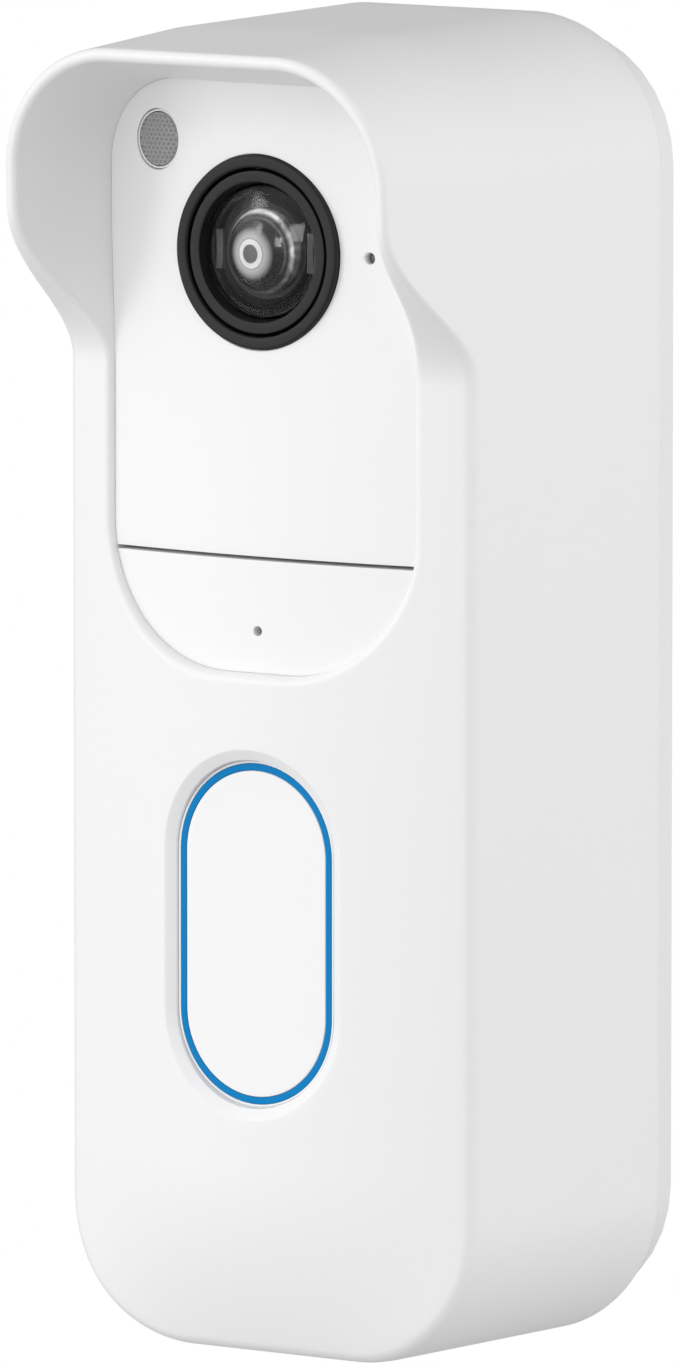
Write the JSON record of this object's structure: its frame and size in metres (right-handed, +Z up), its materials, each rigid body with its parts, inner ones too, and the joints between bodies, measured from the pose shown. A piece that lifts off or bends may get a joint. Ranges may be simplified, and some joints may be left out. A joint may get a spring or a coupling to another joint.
{
  "type": "video doorbell",
  "caption": "Battery video doorbell for a wall, in a white silicone sleeve with a rain hood over the camera, a lit pill-shaped call button and a latched mounting plate.",
  "frame": {"origin": "centre of the mounting plate's flat rear face, on the wall", "axes": "+Z up along the doorbell's height, +Y into the wall, so the camera looks along -Y; +X to the right of someone facing it"},
  "size_m": [0.0522, 0.0532, 0.138],
  "materials": {
    "soft_silicone": "soft-touch matt white silicone, very fine grain",
    "white_shell": "moulded white plastic, fine spark texture",
    "white_plate": "moulded white plastic, satin",
    "white_face": "smooth white plastic, satin gloss",
    "black_plastic": "satin black plastic, lightly turned",
    "clear_glass": "clear polished glass, anti-reflection coated",
    "coated_glass": "dark coated optical glass",
    "grey_lens": "grey plastic lens with small dimples",
    "grey_light_pipe": "grey translucent plastic",
    "blue_light": "translucent plastic lit blue",
    "black_rubber": "matt black rubber",
    "circuit_board": "green solder mask on glass laminate",
    "sensor_silicon": "dark silicon under cover glass",
    "tinned_steel": "tin-plated steel",
    "plated_steel": "nickel-plated steel",
    "brass": "plain brass",
    "led_body": "yellow-white lamp resin",
    "battery_wrap": "dark printed-film wrap, plain",
    "grey_plastic": "moulded grey plastic"
  },
  "bodies": {
    "doorbell": {"back_cover": "white_shell", "battery_1": "battery_wrap", "battery_2": "battery_wrap", "battery_3": "battery_wrap", "battery_contact_1": "plated_steel", "battery_contact_2": "plated_steel", "battery_contact_3": "plated_steel", "battery_spring_1": "plated_steel", "battery_spring_2": "plated_steel", "battery_spring_3": "plated_steel", "battery_tray": "grey_plastic", "button_frame": "white_face", "button_seal": "black_rubber", "camera_bezel": "black_plastic", "camera_board": "circuit_board", "camera_window": "clear_glass", "cover_gasket": "black_rubber", "front_housing": "white_shell", "front_lens": "coated_glass", "housing_screw_1": "plated_steel", "housing_screw_2": "plated_steel", "housing_screw_3": "plated_steel", "housing_screw_4": "plated_steel", "image_sensor": "sensor_silicon", "infrared_led_left": "coated_glass", "infrared_led_right": "coated_glass", "latch_spring": "plated_steel", "lens_barrel": "black_plastic", "lens_retainer": "black_plastic", "light_ring": "blue_light", "lower_face_plate": "white_face", "main_board": "circuit_board", "microphone": "tinned_steel", "microphone_gasket": "black_rubber", "motion_sensor": "tinned_steel", "motion_sensor_lens": "grey_lens", "mounting_plate": "white_plate", "processor_shield": "tinned_steel", "rear_lens": "coated_glass", "ring_led_1": "led_body", "ring_led_2": "led_body", "silicone_sleeve": "soft_silicone", "speaker": "tinned_steel", "speaker_mesh": "black_plastic", "status_light_pipe": "grey_light_pipe", "tact_switch": "black_plastic", "terminal_screw_left": "brass", "terminal_screw_right": "brass", "upper_face_plate": "white_face", "wifi_antenna": "brass"},
    "button": {"call_button": "white_face"},
    "switch": {"switch_plunger": "tinned_steel"},
    "latch": {"release_latch": "grey_plastic"}
  },
  "joints": [
    {"name": "button_press", "type": "slide", "parent": "doorbell", "child": "button", "axis": [0, 1, 0], "range_m": [0, 0.0005], "stiffness_N_per_m": 2500, "springref_m": -0.0003},
    {"name": "plunger_press", "type": "slide", "parent": "doorbell", "child": "switch", "axis": [0, 1, 0], "range_m": [0, 0.0005]},
    {"name": "latch_slide", "type": "slide", "parent": "doorbell", "child": "latch", "axis": [0, 0, 1], "range_m": [0, 0.0015], "stiffness_N_per_m": 1200, "springref_m": -0.0006, "deforming": ["latch_spring"]}
  ],
  "couplings": [
    {"joint": "plunger_press", "follows": "button_press", "ratio": 1}
  ]
}
